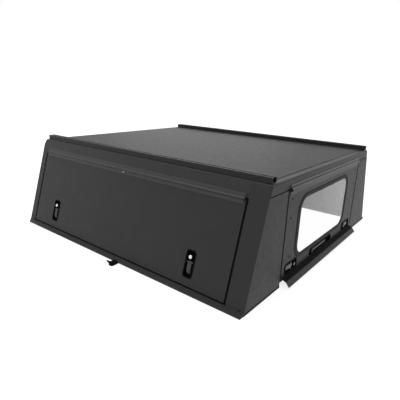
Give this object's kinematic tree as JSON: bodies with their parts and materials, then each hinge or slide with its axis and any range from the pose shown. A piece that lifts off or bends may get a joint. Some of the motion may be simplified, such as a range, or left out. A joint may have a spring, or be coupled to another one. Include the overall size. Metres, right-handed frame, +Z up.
{
  "type": "pickup truck canopy",
  "caption": "Hard canopy for a pickup truck's load bed: sheet metal shell with roof rails, lift-up side doors and a glazed lift-up rear door with a tread skirt.",
  "frame": {"origin": "middle of the footprint, rear skirt included, on the plane of the load bed's rails", "axes": "+X to the vehicle's right, +Y forward to the cab, +Z up"},
  "size_m": [1.6536, 1.602, 0.516],
  "materials": {
    "grey_paint": "fine-textured satin dark grey powder coat",
    "black_rail": "black anodised extrusion",
    "hinge_profile": "dark grey coated extrusion",
    "black_rubber": "matt black rubber",
    "black_plastic": "matt black moulded",
    "paddle_metal": "satin grey coat",
    "glass": "clear safety glass"
  },
  "bodies": {
    "shell": {"roof_panel": "grey_paint", "roof_bows": "grey_paint", "rear_header": "grey_paint", "front_wall": "grey_paint", "base_gasket": "black_rubber", "rear_door_seal": "black_rubber", "rear_hinge_rail": "hinge_profile", "left_roof_rail": "black_rail", "left_side_header": "grey_paint", "left_front_post": "grey_paint", "left_side_sill": "grey_paint", "left_rear_post": "grey_paint", "left_bed_clamp": "black_plastic", "left_door_seal": "black_rubber", "left_hinge_rail": "hinge_profile", "right_roof_rail": "black_rail", "right_side_header": "grey_paint", "right_front_post": "grey_paint", "right_side_sill": "grey_paint", "right_rear_post": "grey_paint", "right_bed_clamp": "black_plastic", "right_door_seal": "black_rubber", "right_hinge_rail": "hinge_profile"},
    "left_door": {"left_side_door": "grey_paint", "left_hinge_leaf": "hinge_profile", "left_side_latch_front_bezel": "black_plastic", "left_side_latch_rear_bezel": "black_plastic"},
    "left_front_paddle": {"left_side_latch_front_paddle": "paddle_metal"},
    "left_rear_paddle": {"left_side_latch_rear_paddle": "paddle_metal"},
    "right_door": {"right_side_door": "grey_paint", "right_hinge_leaf": "hinge_profile", "right_side_latch_front_bezel": "black_plastic", "right_side_latch_rear_bezel": "black_plastic"},
    "right_front_paddle": {"right_side_latch_front_paddle": "paddle_metal"},
    "right_rear_paddle": {"right_side_latch_rear_paddle": "paddle_metal"},
    "rear_door": {"rear_door": "grey_paint", "rear_hinge_leaf": "hinge_profile", "rear_window_glass": "glass", "rear_window_seal": "black_rubber", "rear_door_skirt": "grey_paint", "rear_skirt_tread": "black_rubber", "rear_latch_left_bezel": "black_plastic", "rear_latch_right_bezel": "black_plastic", "rear_handle_bezel": "black_plastic"},
    "rear_latch_left_paddle": {"rear_latch_left_paddle": "paddle_metal"},
    "rear_latch_right_paddle": {"rear_latch_right_paddle": "paddle_metal"},
    "rear_handle_paddle": {"rear_handle_paddle": "paddle_metal"}
  },
  "joints": [
    {"name": "left_door_hinge", "type": "hinge", "parent": "shell", "child": "left_door", "pos_m": [-0.6396, 0, 0.42301], "axis": [0, 1, 0], "range_deg": [0, 85]},
    {"name": "left_front_paddle_pivot", "type": "hinge", "parent": "left_door", "child": "left_front_paddle", "pos_m": [-0.72082, 0.551, 0.11684], "axis": [0, 1, 0], "range_deg": [0, 45], "stiffness_Nm_per_rad": 0.5},
    {"name": "left_rear_paddle_pivot", "type": "hinge", "parent": "left_door", "child": "left_rear_paddle", "pos_m": [-0.72082, -0.461, 0.11684], "axis": [0, 1, 0], "range_deg": [0, 45], "stiffness_Nm_per_rad": 0.5},
    {"name": "right_door_hinge", "type": "hinge", "parent": "shell", "child": "right_door", "pos_m": [0.6396, 0, 0.42301], "axis": [0, -1, 0], "range_deg": [0, 85]},
    {"name": "right_front_paddle_pivot", "type": "hinge", "parent": "right_door", "child": "right_front_paddle", "pos_m": [0.72082, 0.551, 0.11684], "axis": [0, -1, 0], "range_deg": [0, 45], "stiffness_Nm_per_rad": 0.5},
    {"name": "right_rear_paddle_pivot", "type": "hinge", "parent": "right_door", "child": "right_rear_paddle", "pos_m": [0.72082, -0.461, 0.11684], "axis": [0, -1, 0], "range_deg": [0, 45], "stiffness_Nm_per_rad": 0.5},
    {"name": "rear_door_hinge", "type": "hinge", "parent": "shell", "child": "rear_door", "pos_m": [0, -0.7655, 0.441], "axis": [-1, 0, 0], "range_deg": [0, 90]},
    {"name": "rear_latch_left_pivot", "type": "hinge", "parent": "rear_door", "child": "rear_latch_left_paddle", "pos_m": [-0.35992, -0.7565, 0.07], "axis": [0, 0, 1], "range_deg": [0, 45], "stiffness_Nm_per_rad": 0.5},
    {"name": "rear_latch_right_pivot", "type": "hinge", "parent": "rear_door", "child": "rear_latch_right_paddle", "pos_m": [0.35992, -0.7565, 0.07], "axis": [0, 0, -1], "range_deg": [0, 45], "stiffness_Nm_per_rad": 0.5},
    {"name": "rear_handle_pivot", "type": "hinge", "parent": "rear_door", "child": "rear_handle_paddle", "pos_m": [-0.10635, -0.7565, 0.063], "axis": [0, 0, -1], "range_deg": [0, 45], "stiffness_Nm_per_rad": 0.5}
  ]
}
